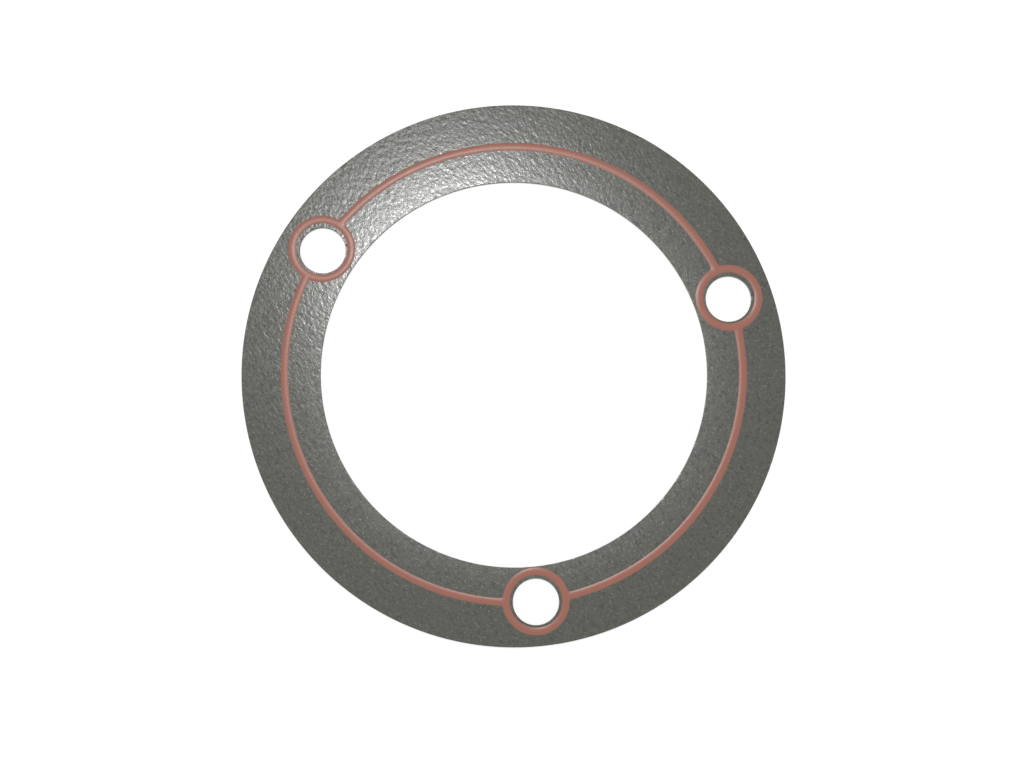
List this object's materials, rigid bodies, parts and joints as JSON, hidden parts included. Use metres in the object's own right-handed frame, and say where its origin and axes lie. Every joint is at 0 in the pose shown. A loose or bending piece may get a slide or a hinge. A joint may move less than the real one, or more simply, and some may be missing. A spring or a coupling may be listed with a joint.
{
  "type": "cylinder head gasket",
  "caption": "Flat ring gasket of grey fibre sheet with a large bore, unevenly spaced bolt holes and a raised red silicone bead on each face.",
  "frame": {"origin": "centre of the bore, on the plane that the lower bead's crest rests on", "axes": "+Z along the bore's axis, out of the upper face; the bolt hole that stands alone is towards -X and +Y"},
  "size_m": [0.1067, 0.1066, 0.0009],
  "materials": {
    "fibre_sheet": "grey rubber-bound fibre sheet with a crinkled, slightly glossy coat",
    "silicone_bead": "satin red silicone"
  },
  "bodies": {
    "root": {"gasket_sheet": "fibre_sheet", "upper_bead": "silicone_bead", "lower_bead": "silicone_bead"}
  },
  "joints": []
}
